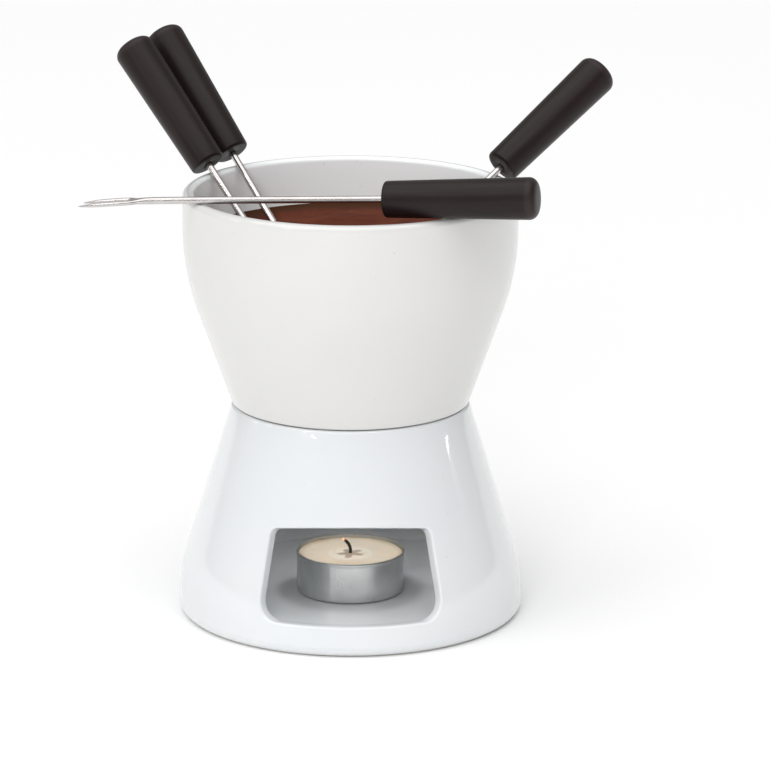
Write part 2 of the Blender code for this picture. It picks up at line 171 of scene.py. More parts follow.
def roundCorners(corners):
    # (x, y, fillet, steps) corners to points, each fillet an arc;
    # two fillets that share a short run are both shortened to fit it
    points = [Vector(corner[:2]) for corner in corners]
    inner = range(1, len(points) - 1)
    reach = [0.0] * len(points)
    halves = [0.0] * len(points)
    for k in inner:
        back, on = points[k - 1] - points[k], points[k + 1] - points[k]
        halves[k] = back.angle(on) / 2
        reach[k] = corners[k][2] / math.tan(halves[k])
    limited = list(reach)
    for k in range(len(points) - 1):
        run = (points[k + 1] - points[k]).length
        wanted = reach[k] + reach[k + 1]
        if wanted > run:
            limited[k] = min(limited[k], reach[k] * run / wanted)
            limited[k + 1] = min(limited[k + 1], reach[k + 1] * run / wanted)
    outline = [points[0]]
    for k in inner:
        here, steps = points[k], corners[k][3]
        if not limited[k]:
            outline.append(here)
            continue
        back = (points[k - 1] - here).normalized()
        on = (points[k + 1] - here).normalized()
        radius = limited[k] * math.tan(halves[k])
        centre = here + (back + on).normalized() * radius / math.sin(halves[k])
        start = here + back * limited[k] - centre
        turn = start.angle_signed(here + on * limited[k] - centre)
        outline += [centre + Matrix.Rotation(-turn * j / steps, 2) @ start for j in range(steps + 1)]
    outline.append(points[-1])
    return outline


def refine(points, longest):
    # splits long runs, so that no face is a sliver
    fine = [points[0]]
    for a, b in zip(points, points[1:]):
        count = max(1, math.ceil((b - a).length / longest))
        fine += [a.lerp(b, k / count) for k in range(1, count + 1)]
    return fine


def spaced(points, count):
    # the same line in count equal steps
    lengths = np.cumsum([0] + [(b - a).length for a, b in zip(points, points[1:])])
    wanted = np.linspace(0, lengths[-1], count + 1)
    xs = np.interp(wanted, lengths, [p.x for p in points])
    ys = np.interp(wanted, lengths, [p.y for p in points])
    return [Vector((x, y)) for x, y in zip(xs, ys)]


def smoothAt(points, row):
    # a point between rows, on the smooth curve through them
    k = min(int(row), len(points) - 2)
    t = row - k
    if t < 1e-9:
        return points[k]
    p0, p1, p2, p3 = (points[min(max(k + j, 0), len(points) - 1)] for j in (-1, 0, 1, 2))
    return 0.5 * (2 * p1 + (p2 - p0) * t + (2 * p0 - 5 * p1 + 4 * p2 - p3) * t * t
                  + (3 * p1 - p0 - 3 * p2 + p3) * t ** 3)


def wallRadius(wall, inset, height):
    (r0, z0), (r1, z1) = wall
    return r0 + (height - z0) * (r1 - r0) / (z1 - z0) - inset * math.hypot(r1 - r0, z1 - z0) / (z1 - z0)


def wallHeight(wall, inset, radius):
    (r0, z0), (r1, z1) = wall
    reach = radius - r0 + inset * math.hypot(r1 - r0, z1 - z0) / (z1 - z0)
    return z0 + reach * (z1 - z0) / (r1 - r0)


# mesh helpers

slipCast = {"uneven": 0.07, "calm": 30.0}


def addPiece(name, form, finish, sharp=40):
    bmesh.ops.remove_doubles(form, verts=form.verts, dist=1e-7)
    bmesh.ops.recalc_face_normals(form, faces=form.faces)
    mesh = bpy.data.meshes.new(name)
    form.to_mesh(mesh)
    form.free()
    mesh.shade_smooth()
    mesh.set_sharp_from_angle(angle=math.radians(sharp))
    mesh.materials.append(finish)
    piece = bpy.data.objects.new(name, mesh)
    scene.collection.objects.link(piece)
    return piece


def hand(piece, body, slot, *nodes):
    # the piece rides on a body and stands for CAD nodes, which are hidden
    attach(piece, body)
    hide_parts(*nodes)


def around(column, columns, radius, height):
    angle = math.tau * column / columns
    return Vector((radius * math.sin(angle), -radius * math.cos(angle), height))


def turnedForm(profile, columns, shape=None):
    # spins a profile; shape may move each point
    form = bmesh.new()
    rows = []
    for point in profile:
        ring = []
        for column in range(1 if point.x < 1e-9 else columns):
            place = around(column, columns, point.x, point.y)
            ring.append(form.verts.new(shape(place) if shape else place))
        rows.append(ring)
    for low, high in zip(rows, rows[1:]):
        for k in range(columns):
            corners = [low[k % len(low)], low[(k + 1) % len(low)],
                       high[(k + 1) % len(high)], high[k % len(high)]]
            form.faces.new(list(dict.fromkeys(corners)))
    return form


def tubeForm(form, path, radii, sides):
    # a round bar along 3D points
    rings = []
    across = None
    for k, point in enumerate(path):
        along = (path[min(k + 1, len(path) - 1)] - path[max(k - 1, 0)]).normalized()
        if across is None:
            across = along.orthogonal().normalized()
        across = (across - along * across.dot(along)).normalized()
        side = along.cross(across)
        ring = []
        for s in range(sides):
            angle = math.tau * s / sides
            offset = across * math.cos(angle) + side * math.sin(angle)
            ring.append(form.verts.new(point + offset * radii[k]))
        rings.append(ring)
    for low, high in zip(rings, rings[1:]):
        for s in range(sides):
            form.faces.new((low[s], low[(s + 1) % sides], high[(s + 1) % sides], high[s]))
    form.faces.new(reversed(rings[0]))
    form.faces.new(rings[-1])


def handMade(place):
    # the slight unevenness of slip-cast ware, none at the axis
    wave = noise.noise(place * 22) * 0.7 + noise.noise(place * 60) * 0.3
    reach = math.hypot(place.x, place.y)
    if reach < 1e-6:
        return place
    share = 1 + slipCast["uneven"] * mm * wave * min(reach / (slipCast["calm"] * mm), 1) / reach
    return Vector((place.x * share, place.y * share, place.z))


# finishes

def glazeFinish(name, tone, thin, gloss, coat, paintedLight=None):
    # white glaze over white clay, warmer where it runs thin, bare clay under the foot;
    # the last argument is (taper, band radius, depth, tone) for painted light: a lighter tone painted inside
    # the wall where the lamps leave it dim
    finish = Finish(name, Coat_Weight=coat, Coat_Roughness=0.025, Coat_IOR=1.52, IOR=1.5)
    x, y, z = finish.axes()
    cloud = finish.noise(18, 2, 0.5)
    pool = finish.noise(70, 3, 0.6)
    speck = finish.noise(900, 1, 0.5).step(0.77, 0.82)
    shade = finish.blend(cloud.step(0.35, 0.7), tone, thin)
    shade = finish.blend(pool.step(0.3, 0.9) * 0.25, shade, tuple(c * 0.97 for c in tone))
    if paintedLight:
        ((lowRadius, lowHeight), (highRadius, highHeight)), band, depth, white = paintedLight
        reach = (x * x + y * y).root()
        slope = (highRadius - lowRadius) / (highHeight - lowHeight)
        wall = ((z - lowHeight) * slope + lowRadius).maths("MINIMUM", band)
        aboveSeat = z.step(lowHeight + 4 * mm, lowHeight + 8 * mm)
        inside = (wall - reach).step(depth * 0.5, depth * 0.7) * aboveSeat
        # painted light: the inside of the wall is lifted to a lighter tone
        shade = finish.blend(inside, shade, white)
    shade = finish.blend(speck * 0.35, shade, (0.42, 0.36, 0.29))
    bare = 1 - z.step(0.25 * mm, 0.6 * mm)
    shade = finish.blend(bare, shade, (0.72, 0.68, 0.61))
    grain = finish.noise(2500, 2, 0.6)
    rough = gloss + pool * 0.05 + bare * 0.5
    soft = finish.bump(cloud, 0.6 * mm, 0.25)
    skin = finish.bump(finish.noise(160, 2, 0.4), 0.08 * mm, 0.3, soft)
    clay = finish.bump(grain * bare, 0.1 * mm, 0.6, skin)
    return finish.feed(Base_Color=shade, Roughness=rough, Coat_Weight=coat * (1 - bare), Normal=clay)


def chocolateFinish(name):
    # melted dark chocolate, stirred into streaks, with painted shade darkening and browning it towards the
    # wall
    finish = Finish(name, Coat_Weight=0.07, Coat_Roughness=0.03, IOR=1.47, Specular_IOR_Level=0.0)
    x, y = finish.axes()[:2]
    reach = (x * x + y * y).root()
    streak = finish.noise(40, 4, 0.6, (1, 1, 1), 1.6)
    shade = finish.blend(streak.step(0.35, 0.7), (0.078, 0.018, 0.010), (0.115, 0.030, 0.014))
    # painted shade: darker and browner in a ring towards the bowl's wall
    shade = finish.blend(reach.step(44 * mm, 53 * mm), shade, (0.058, 0.023, 0.011))
    rough = 0.10 + streak * 0.12
    ripple = finish.bump(streak, 0.5 * mm, 0.25)
    fine = finish.bump(finish.noise(420, 2, 0.5), 0.05 * mm, 0.3, ripple)
    return finish.feed(Base_Color=shade, Roughness=rough, Normal=fine)


def waxFinish(name):
    # pale wax, warmer against the foil, with a crust where it set last
    finish = Finish(name, IOR=1.44, Subsurface_Weight=0.35, Subsurface_Scale=0.004,
                    Coat_Weight=0.15, Coat_Roughness=0.2)
    finish.shader.inputs["Subsurface Radius"].default_value = (1.0, 0.7, 0.4)
    x, y = finish.axes()[:2]
    reach = (x * x + y * y).root()
    turn = y.maths("ARCTAN2", x)
    cloud = finish.noise(160, 4, 0.6)
    # the wax is darker round the wick in a ragged star
    ray = (turn * 5 + cloud * 5).maths("COSINE") * 0.5 + 0.5
    star = 1 - (reach - ray * 2.6 * mm - cloud * 1.6 * mm).step(0.6 * mm, 2.4 * mm)
    crust = (1 - (reach + cloud * 5 * mm).step(10 * mm, 10.8 * mm)) * cloud.step(0.35, 0.5)
    shade = finish.blend(cloud, (0.74, 0.62, 0.47), (0.84, 0.75, 0.61))
    shade = finish.blend(crust * 0.6, shade, (0.88, 0.83, 0.74))
    shade = finish.blend(reach.step(15.5 * mm, 18.5 * mm) * 0.7, shade, (0.56, 0.40, 0.24))
    shade = finish.blend(star * 0.75, shade, (0.30, 0.19, 0.10))
    rough = 0.30 + cloud * 0.25
    skin = finish.bump(cloud + crust * 0.6, 0.25 * mm, 0.5)
    return finish.feed(Base_Color=shade, Roughness=rough, Normal=skin)


def aluminiumFinish(name):
    # thin drawn foil cup: fine lines up the wall, soft dents
    finish = Finish(name, Metallic=1.0)
    line = finish.noise(1400, 2, 0.6, (1, 1, 0.06))
    smear = finish.noise(130, 3, 0.6)
    shade = finish.blend(smear, (0.52, 0.53, 0.52), (0.69, 0.70, 0.70))
    rough = 0.20 + smear * 0.10 + line * 0.10
    dent = finish.bump(finish.noise(75, 1, 0.4), 0.9 * mm, 0.25)
    drawn = finish.bump(line, 0.03 * mm, 0.5, dent)
    return finish.feed(Base_Color=shade, Roughness=rough, Normal=drawn)


def tinFinish(name):
    # dull tin plate, smeared and scratched
    finish = Finish(name, Metallic=1.0)
    smear = finish.noise(500, 4, 0.6)
    shade = finish.blend(smear, (0.48, 0.46, 0.42), (0.66, 0.65, 0.62))
    scratch = finish.noise(900, 3, 0.7, (1, 0.1, 1))
    return finish.feed(Base_Color=shade, Roughness=0.28 + smear * 0.25,
                       Normal=finish.bump(scratch, 0.03 * mm, 0.6))


def wickFinish(name, tip):
    # charred cotton, with a painted orange glow at its tip
    finish = Finish(name, Emission_Strength=2.2)
    x, y, z = finish.axes()
    fibre = finish.noise(2600, 3, 0.7, (1, 1, 0.3))
    away = ((x - tip.x) * (x - tip.x) + (z - tip.z) * (z - tip.z)).root()
    # painted glow: the tip is made to shine orange though it is no lamp
    paintedGlowShare = 1 - away.step(0.35 * mm, 0.9 * mm)
    ash = 1 - away.step(0.8 * mm, 1.8 * mm)
    shade = finish.blend(fibre, (0.008, 0.006, 0.005), (0.045, 0.032, 0.026))
    shade = finish.blend(ash * fibre, shade, (0.24, 0.17, 0.13))
    paintedGlow = finish.blend(paintedGlowShare, (0, 0, 0), (1.0, 0.42, 0.26))
    return finish.feed(Base_Color=shade, Roughness=0.75 + fibre * 0.2, Emission_Color=paintedGlow,
                       Normal=finish.bump(fibre, 0.12 * mm, 0.8))


def handleFinish(name, length):
    # dark moulded plastic, satin, rubbed a little paler at the butt's edge
    finish = Finish(name, IOR=1.5, Specular_IOR_Level=0.22)
    z = finish.axes()[2]
    cloud = finish.noise(45, 3, 0.6)
    stipple = finish.noise(3200, 2, 0.5)
    flow = finish.noise(500, 3, 0.6, (1, 1, 0.05))
    shade = finish.blend(cloud, (0.0090, 0.0040, 0.0042), (0.0155, 0.0085, 0.0087))
    shade = finish.blend(flow.step(0.45, 0.8) * 0.35, shade, (0.030, 0.020, 0.0205))
    butt = z.step(length - 2 * mm, length - 0.6 * mm)
    worn = z.step(length - 4.5 * mm, length - 2.5 * mm) * (1 - butt)
    shade = finish.blend(worn * cloud * 0.5, shade, (0.060, 0.046, 0.045))
    rough = 0.30 + stipple * 0.10 + cloud * 0.08
    skin = finish.bump(stipple, 0.03 * mm, 0.45)
    drawn = finish.bump(flow, 0.02 * mm, 0.4, skin)
    return finish.feed(Base_Color=shade, Roughness=rough, Normal=drawn)


def steelFinish(name):
    # polished stainless, its last polishing lines along the rod
    finish = Finish(name, Metallic=1.0)
    line = finish.noise(2200, 3, 0.6, (1, 1, 0.02))
    smear = finish.noise(200, 3, 0.6)
    shade = finish.blend(smear, (0.46, 0.43, 0.42), (0.62, 0.60, 0.59))
    rough = 0.10 + line * 0.10 + smear * 0.06
    return finish.feed(Base_Color=shade, Roughness=rough, Normal=finish.bump(line, 0.012 * mm, 0.5))


# the base: one closed skin from its underside round to its floor, with a window and three vents

baseShape = {"topRadius": 41.3, "skirt": 14.7, "wall": 4.5, "floor": 9.5, "shoulder": 66.0,
             "floorFillet": 10.0, "edge": 1.2, "footFillet": 4.0, "footWidth": 8.0, "recess": 1.4}
baseGrid = {"columns": 192, "toe": 4.3, "waist": 52.0, "neck": 64.0, "floorStop": 50.0,
            "windowRows": 44, "ventRows": 9}
windowShape = {"halfAngle": 31.8, "sill": 1.5, "height": 30.5, "sillCorner": 8.0,
               "topCorner": 2.5, "edge": 0.9, "margin": 10}
ventShape = {"radius": 3.5, "spacing": 17.0, "drop": 17.0, "edge": 0.8, "halfColumns": 6}
holeGrid = {"patchRings": 10, "rollRings": 6, "crowding": 0.6, "cornerCrowding": 0.12}
baseGlaze = {"tone": (0.685, 0.705, 0.72), "thin": (0.705, 0.72, 0.73), "gloss": 0.16, "coat": 1.0}


def baseSection():
    # the base's section from the middle of its underside round to the middle of its floor,
    # and the rows where its bands begin
    s = {key: value * mm for key, value in baseShape.items()}
    g = {key: value * mm for key, value in baseGrid.items()}
    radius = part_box("base")[1].x
    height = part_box("base")[1].z
    taper = ((radius, s["skirt"]), (s["topRadius"], height))
    inner = radius - s["wall"]
    marks = [Vector((radius, g["toe"])),
             Vector((wallRadius(taper, 0, g["waist"]), g["waist"])),
             Vector((wallRadius(taper, 0, g["neck"]), g["neck"])),
             Vector((wallRadius(taper, s["wall"], g["neck"]), g["neck"])),
             Vector((wallRadius(taper, s["wall"], g["waist"]), g["waist"])),
             Vector((g["floorStop"], s["floor"]))]
    bare = [(mark.x, mark.y, 0, 0) for mark in marks]
    line = roundCorners([
        (0, s["recess"], 0, 0),
        (radius - s["footWidth"], s["recess"], 0.4 * mm, 4),
        (radius - s["footWidth"], 0, 0.6 * mm, 5),
        (radius, 0, s["footFillet"], 12),
        bare[0],
        (radius, s["skirt"], s["shoulder"], 40),
        bare[1],
        bare[2],
        (s["topRadius"], height, s["edge"], 8),
        (wallRadius(taper, s["wall"], height), height, s["edge"], 8),
        bare[3],
        bare[4],
        (inner, wallHeight(taper, s["wall"], inner), s["shoulder"] - s["wall"], 40),
        (inner, s["floor"], s["floorFillet"], 24),
        bare[5],
        (0, s["floor"], 0, 0),
    ])
    ends = [0] + [min(range(len(line)), key=lambda k: (line[k] - mark).length) for mark in marks]
    ends.append(len(line) - 1)
    tall, short = baseGrid["windowRows"], baseGrid["ventRows"]
    rows, starts = [], []
    for first, last, count in zip(ends, ends[1:], (0, tall, short, 0, short, tall, 0)):
        run = line[first:last + 1]
        run = spaced(run, count) if count else refine(run, 6 * mm)
        starts.append(len(rows))
        rows += run[:-1]
    rows.append(line[-1])
    return rows, starts, taper


def heightRow(rows, first, last, height):
    # the fractional row, between two rows, at a height
    for k in range(min(first, last), max(first, last)):
        a, b = rows[k].y, rows[k + 1].y
        if a != b and min(a, b) <= height <= max(a, b):
            return k + (height - a) / (b - a)
    raise ValueError("the wall has no such height")


def windowSpot(side, share, distance, grow, taper):
    # a point on the window's outline, on the plane this far in front of the axis:
    # sides 0 to 3 are the sill, right, top and left, each from mid corner to mid corner
    w = {key: value * mm for key, value in windowShape.items()}
    slant = math.tan(math.radians(windowShape["halfAngle"]))
    sill = baseShape["floor"] * mm + w["sill"]
    top = sill + w["height"]
    (r0, z0), (r1, z1) = taper
    nearTop = wallRadius(taper, 0, top) * math.cos(math.radians(windowShape["halfAngle"]))
    top += (distance - nearTop) * (r0 - r1) / (z1 - z0)
    half = distance * slant + grow
    sill -= grow
    top += grow
    low, high = w["sillCorner"] + grow, w["topCorner"] + grow
    corners = [((-half, sill), low), ((half, sill), low), ((half, top), high), ((-half, top), high)]
    (a, ra), (b, rb) = corners[side], corners[(side + 1) % 4]
    a, b = Vector(a), Vector(b)
    run = (b - a).length
    on = (b - a).normalized()
    inward = Vector((-on.y, on.x))
    quarter = math.pi / 4
    reach = share * (ra * quarter + run - ra - rb + rb * quarter)
    if reach < ra * quarter:
        turn = quarter - reach / ra
        return a + (on + inward) * ra - inward * ra * math.cos(turn) - on * ra * math.sin(turn)
    reach -= ra * quarter
    if reach < run - ra - rb:
        return a + on * (ra + reach)
    turn = (reach - (run - ra - rb)) / rb
    return b + (inward - on) * rb - inward * rb * math.cos(turn) + on * rb * math.sin(turn)


def windowPoint(taper, side, share, radiusAt, grow):
    # the window's outline as an angle round the pot and a height, on a wall of radius radiusAt(height)
    crowded = share - holeGrid["cornerCrowding"] * math.sin(math.tau * share)
    distance = baseShape["topRadius"] * mm
    for k in range(10):
        spot = windowSpot(side, crowded, distance, grow, taper)
        angle = math.atan2(spot.x, distance)
        distance = radiusAt(spot.y) * math.cos(angle)
    return angle, spot.y


def ventPoint(index, top, side, share, radiusAt, grow):
    # the same for a vent in the back wall, counted from the middle one
    turn = math.pi / 2 * (side + share) - math.pi * 3 / 4
    radius = ventShape["radius"] * mm + grow
    x = index * ventShape["spacing"] * mm - radius * math.cos(turn)
    height = top - ventShape["drop"] * mm + radius * math.sin(turn)
    return math.pi - math.asin(x / radiusAt(height)), height


def cutHole(form, grid, rows, hole):
    # weaves one hole into the wall: outer patch, rolled edge, reveal, rolled edge, inner patch
    columns = len(grid)
    first, last = hole["columns"]
    wide = last - first
    borders, outlines = [], []
    for low, high in (hole["outer"], hole["inner"]):
        step = 1 if high > low else -1
        tall = abs(high - low)
        border = [(first + k, low) for k in range(wide)]
        border += [(last, low + step * k) for k in range(tall)]
        border += [(last - k, high) for k in range(wide)]
        border += [(first, high - step * k) for k in range(tall)]
        sides = [(side, k / n) for side, n in enumerate((wide, tall, wide, tall)) for k in range(n)]

        def radiusAt(height):
            return smoothAt(rows, heightRow(rows, low, high, height)).x

        def traced(grow):
            spots = []
            for side, share in sides:
                angle, height = hole["point"](side, share, radiusAt, grow)
                spots.append((angle * columns / math.tau, heightRow(rows, low, high, height)))
            return spots

        borders.append(border)
        outlines.append((traced(hole["edge"]), traced(0)))

    def spotOn(column, row):
        point = smoothAt(rows, row)
        return around(column, columns, point.x, point.y)

    def patch(border, outline):
        # rings from the wall's own vertices in to the rolled edge
        rings = [[grid[int(c) % columns][int(r)] for c, r in border]]
        for k in range(1, holeGrid["patchRings"] + 1):
            t = k / holeGrid["patchRings"]
            t = t * (1 + holeGrid["crowding"] - holeGrid["crowding"] * t)
            rings.append([form.verts.new(spotOn(c + (oc - c) * t, r + (orow - r) * t))
                          for (c, r), (oc, orow) in zip(border, outline)])
        return rings

    lips = [[spotOn(c, r) for c, r in outline[1]] for outline in outlines]

    def roll(ring, lip, other):
        # a quarter round from the wall over into the reveal
        rings = []
        for k in range(1, holeGrid["rollRings"] + 1):
            turn = math.pi / 2 * k / holeGrid["rollRings"]
            made = []
            for vertex, corner, far in zip(ring, lip, other):
                on = (far - corner).normalized() * hole["edge"]
                made.append(form.verts.new(corner + (vertex.co - corner) * (1 - math.sin(turn))
                                           + on * (1 - math.cos(turn))))
            rings.append(made)
        return rings

    outer = patch(borders[0], outlines[0][0])
    outer += roll(outer[-1], lips[0], lips[1])
    inner = patch(borders[1], outlines[1][0])
    inner += roll(inner[-1], lips[1], lips[0])
    rings = outer + inner[::-1]
    for near, far in zip(rings, rings[1:]):
        for k in range(len(near)):
            j = (k + 1) % len(near)
            form.faces.new((near[k], near[j], far[j], far[k]))


def makeBase():
    rows, starts, taper = baseSection()
    columns = baseGrid["columns"]
    toe, waist, neck, innerNeck, innerWaist, floorStop = starts[1:]
    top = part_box("base")[1].z
    reach = round(columns * (windowShape["halfAngle"] + windowShape["margin"]) / 360)
    holes = [{"columns": (-reach, reach), "outer": (toe, waist), "inner": (floorStop, innerWaist),
              "edge": windowShape["edge"] * mm, "point": partial(windowPoint, taper)}]
    half = ventShape["halfColumns"]
    for index in (-1, 0, 1):
        middle = columns // 2 - index * 2 * half
        holes.append({"columns": (middle - half, middle + half), "outer": (waist, neck),
                      "inner": (innerWaist, innerNeck), "edge": ventShape["edge"] * mm,
                      "point": partial(ventPoint, index, top)})
    form = bmesh.new()
    grid = [[form.verts.new(around(c, columns, p.x, p.y)) for p in rows] for c in range(columns)]
    skipped = set()
    for hole in holes:
        for low, high in (sorted(hole["outer"]), sorted(hole["inner"])):
            for c in range(*hole["columns"]):
                skipped.update((c % columns, r) for r in range(low, high))
    for c in range(columns):
        for r in range(len(rows) - 1):
            if (c, r) not in skipped:
                nextColumn = grid[(c + 1) % columns]
                form.faces.new((grid[c][r], nextColumn[r], nextColumn[r + 1], grid[c][r + 1]))
    for hole in holes:
        cutHole(form, grid, rows, hole)
    for vertex in form.verts:
        vertex.co = handMade(vertex.co)
    finish = glazeFinish("coolGlaze", **baseGlaze)
    hand(addPiece("glazedBase", form, finish, 70), "base", "base_glaze", "base")
    print("base done")


# the bowl and the chocolate in it

bowlShape = {"seatRadius": 41.2, "belly": 46.8, "wall": 4.0, "floor": 5.5, "bellyFillet": 85.0,
             "floorFillet": 14.0, "seatFillet": 1.3, "rimOuter": 2.0, "rimInner": 1.6,
             "spigotGap": 1.0, "spigotWidth": 4.5, "spigotRecess": 1.0, "seatGap": 0.3,
             "columns": 192}
bowlGlaze = {"tone": (0.63, 0.625, 0.61), "thin": (0.65, 0.645, 0.63), "gloss": 0.26, "coat": 0.7}
# painted light: the lighter tone painted on the inside of the bowl's wall
bowlPaintedLight = (0.90, 0.925, 0.93)
chocolateShape = {"wallRise": 1.0, "wallReach": 1.5, "rodRise": 0.8, "rodReach": 1.2,
                  "swirl": 0.16, "bite": 0.05, "columns": 240, "step": 0.7}


def bowlLines():
    # the bowl's taper and its inner heights and radii, from the frame and the shape above
    s = {key: value * mm for key, value in bowlShape.items()}
    low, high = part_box("bowl")
    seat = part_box("base")[1].z + s["seatGap"]
    taper = ((s["seatRadius"], seat), (high.x, seat + s["belly"]))
    floor = low.z + s["spigotRecess"] + s["floor"]
    band = high.x - s["wall"]
    return s, taper, seat, floor, band, high.z


def makeBowl():
    s, taper, seat, floor, band, rim = bowlLines()
    b = {key: value * mm for key, value in baseShape.items()}
    low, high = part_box("bowl")
    baseTaper = ((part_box("base")[1].x, b["skirt"]), (b["topRadius"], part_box("base")[1].z))
    spigot = wallRadius(baseTaper, b["wall"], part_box("base")[1].z) - s["spigotGap"]
    line = roundCorners([
        (0, low.z + s["spigotRecess"], 0, 0),
        (spigot - s["spigotWidth"], low.z + s["spigotRecess"], 0.4 * mm, 4),
        (spigot - s["spigotWidth"], low.z, 0.6 * mm, 5),
        (spigot, low.z, 0.7 * mm, 6),
        (spigot, seat, 0.5 * mm, 4),
        (s["seatRadius"], seat, s["seatFillet"], 10),
        (high.x, seat + s["belly"], s["bellyFillet"], 40),
        (high.x, rim, s["rimOuter"], 12),
        (band, rim, s["rimInner"], 12),
        (band, wallHeight(taper, s["wall"], band), s["bellyFillet"] - s["wall"], 40),
        (wallRadius(taper, s["wall"], floor), floor, s["floorFillet"], 24),
        (0, floor, 0, 0),
    ])
    form = turnedForm(refine(line, 5 * mm), bowlShape["columns"], handMade)
    finish = glazeFinish("warmGlaze", **bowlGlaze, paintedLight=(taper, high.x, s["wall"], bowlPaintedLight))
    hand(addPiece("glazedBowl", form, finish, 70), "bowl", "bowl_glaze", "bowl")
    print("bowl done")


def makeChocolate(forks):
    s, taper, seat, floor, band, rim = bowlLines()
    c = {key: value * mm for key, value in chocolateShape.items()}
    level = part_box("melted_chocolate")[1].z
    gap = s["wall"] - c["bite"]
    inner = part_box("bowl")[1].x - gap
    wall = roundCorners([
        (0, floor + 0.1 * mm, 0, 0),
        (wallRadius(taper, gap, floor), floor + 0.1 * mm, s["floorFillet"], 16),
        (inner, wallHeight(taper, gap, inner), s["bellyFillet"] - gap, 30),
        (inner, rim, 0, 0),
    ])
    below = [p for p in refine(wall, 2 * mm) if p.y < level - 0.2 * mm]
    fine = refine(wall, 1 * mm)
    shore = smoothAt(fine, heightRow(fine, 0, len(fine) - 1, level)).x
    steps = math.ceil(shore / c["step"])
    top = [Vector((shore * (1 - k / steps), level)) for k in range(steps)] + [Vector((0, level))]
    rods = []
    for place in forks:
        along = place.col[2].to_3d()
        if along.z > 0.3:
            start = place.translation
            rods.append((start + along * (level - start.z) / along.z, along))
    rodRadius = forkShape["rod"] * mm

    def surface(place):
        if place.z < level - 1e-6:
            return place
        reach = math.hypot(place.x, place.y)
        rise = c["wallRise"] * math.exp(-(shore - reach) / c["wallReach"])
        for spot, along in rods:
            flat = along.to_2d()
            away = (place - spot).to_2d()
            lengthwise = away.dot(flat.normalized()) * along.z
            sideways = away.cross(flat.normalized())
            clear = max(math.hypot(lengthwise, sideways) - rodRadius, 0)
            rise += c["rodRise"] * math.exp(-clear / c["rodReach"])
        angle = math.atan2(place.y, place.x)
        fade = min((shore - reach) / (6 * mm), 1) * min(reach / (8 * mm), 1)
        spiral = math.sin(2 * angle - reach / (4.2 * mm) + 3 * noise.noise(place * 25))
        rise += c["swirl"] * fade * (spiral + 1.5 * noise.noise(place * 70 + Vector((3, 1, 0))))
        return place + Vector((0, 0, rise))

    form = turnedForm(below + top, chocolateShape["columns"], surface)
    piece = addPiece("meltedChocolate", form, chocolateFinish("meltedChocolate"), 60)
    hand(piece, "bowl", "chocolate", "melted_chocolate")
    print("chocolate done")


# the tealight: foil cup, wax, sustainer and braided wick

cupShape = {"wall": 0.28, "bead": 0.5, "corner": 1.2, "panel": 0.25, "panelInset": 4.5,
            "dent": 0.09, "flutes": 44, "flute": 0.02, "columns": 176}
waxShape = {"climb": 0.45, "sag": 0.25, "wickHill": 0.35, "ripple": 0.35, "grain": 0.10,
            "gap": 0.2, "rings": 44, "columns": 128}
wickShape = {"radius": 0.6, "strands": 3, "turns": 5.5, "bendRadius": 4.6, "bend": 66.0, "rise": 0.8,
             "strandShare": 0.52, "tipShare": 0.36, "twist": 0.46, "rings": 90}
sustainerShape = {"disc": 7.0, "thickness": 0.4, "neck": 3.5, "neckWall": 0.35, "boreGap": 0.15}


def standForward(piece):
    # pieces made about Z go to where the tealight stands
    low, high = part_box("tealight_cup")
    piece.location = ((low.x + high.x) / 2, (low.y + high.y) / 2, 0)
    return piece


def makeCup():
    s = {key: value * mm for key, value in cupShape.items()}
    low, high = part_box("tealight_cup")
    outer = (high.x - low.x) / 2 - s["bead"] + s["wall"] / 2
    inner = outer - s["wall"]
    brim = (high.x - low.x) / 2
    line = roundCorners([
        (0, low.z + s["panel"], 0, 0),
        (outer - s["panelInset"], low.z + s["panel"], 0.4 * mm, 4),
        (outer - s["panelInset"] + 0.5 * mm, low.z, 0.4 * mm, 4),
        (outer, low.z, s["corner"], 8),
        (outer, high.z - 2.0 * s["bead"], 0.1 * mm, 2),
        (brim, high.z - 1.9 * s["bead"], 0.4 * mm, 6),
        (brim, high.z, 0.48 * mm, 8),
        (inner, high.z, 0.25 * mm, 6),
        (inner, low.z + s["wall"], s["corner"] - s["wall"], 6),
        (0, low.z + s["wall"] + s["panel"], 0, 0),
    ])

    def pressed(place):
        # shallow flutes and dents that fade out towards the bead and the bottom
        reach = math.hypot(place.x, place.y)
        if reach < outer - 2 * mm:
            return place
        up = (place.z - low.z) / (high.z - low.z)
        fade = math.sin(math.pi * min(max(up, 0), 1)) ** 0.6
        angle = math.atan2(place.y, place.x)
        move = s["flute"] * math.sin(angle * cupShape["flutes"]) * fade
        move += s["dent"] * noise.noise(Vector((math.cos(angle), math.sin(angle), up * 0.5)) * 2.6) * fade
        return Vector((place.x * (1 + move / reach), place.y * (1 + move / reach), place.z))

    form = turnedForm(refine(line, 0.9 * mm), cupShape["columns"], pressed)
    piece = standForward(addPiece("tealightCup", form, aluminiumFinish("drawnAluminium"), 60))
    hand(piece, "tealight", "tealight_aluminium", "tealight_cup")
    print("cup done")


def sustainerLines():
    # the bore for the wick, the neck's radius and the height of the disc's top
    bore = (wickShape["radius"] + sustainerShape["boreGap"]) * mm
    neck = bore + sustainerShape["neckWall"] * mm
    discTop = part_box("candle_wax")[0].z + sustainerShape["thickness"] * mm
    return bore, neck, discTop


